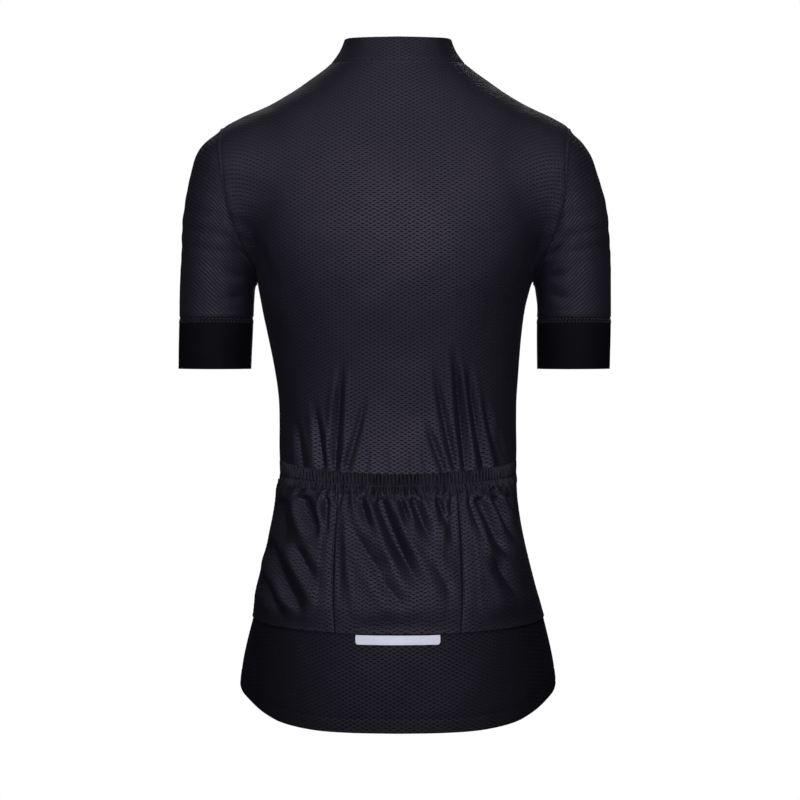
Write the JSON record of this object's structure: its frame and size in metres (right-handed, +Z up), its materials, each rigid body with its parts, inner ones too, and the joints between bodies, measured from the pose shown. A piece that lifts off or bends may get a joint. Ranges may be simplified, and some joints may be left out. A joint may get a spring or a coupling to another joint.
{
  "type": "cycling jersey",
  "caption": "Short-sleeved cycling jersey with a stand collar, front zip, elastic cuffs, gathered rear pockets and a dropped hem, filled out as worn.",
  "frame": {"origin": "midway between the tops of the shoulders, where a wearer's shoulders hold the jersey up", "axes": "+Z up along the back to the collar, +X to the wearer's left, -Y out of the front"},
  "size_m": [0.4241, 0.2312, 0.6655],
  "materials": {
    "mesh_fabric": "matt knitted mesh with small holes",
    "hem_fabric": "matt knit",
    "cuff_elastic": "smooth stretch knit",
    "pocket_elastic": "gathered elastic",
    "reflective_strip": "silver retroreflective film",
    "zip_tape": "woven tape with nylon coil",
    "zip_metal": "dark enamel"
  },
  "bodies": {
    "garment": {"back": "mesh_fabric", "front_left": "mesh_fabric", "front_right": "mesh_fabric", "hem_panel": "hem_fabric", "collar": "mesh_fabric", "sleeve_left": "mesh_fabric", "sleeve_right": "mesh_fabric", "cuff_left": "cuff_elastic", "cuff_right": "cuff_elastic", "pocket_left": "mesh_fabric", "pocket_middle": "mesh_fabric", "pocket_right": "mesh_fabric", "pocket_elastic": "pocket_elastic", "reflective_strip": "reflective_strip", "zip_tape_left": "zip_tape", "zip_tape_right": "zip_tape", "zip_slider": "zip_metal"},
    "pull_tab": {"zip_pull": "zip_metal"}
  },
  "joints": [
    {"name": "zip_pull_swing", "type": "hinge", "parent": "garment", "child": "pull_tab", "pos_m": [0, -0.06155, -0.00724], "axis": [-1, 0, 0], "range_deg": [0, 170]}
  ]
}
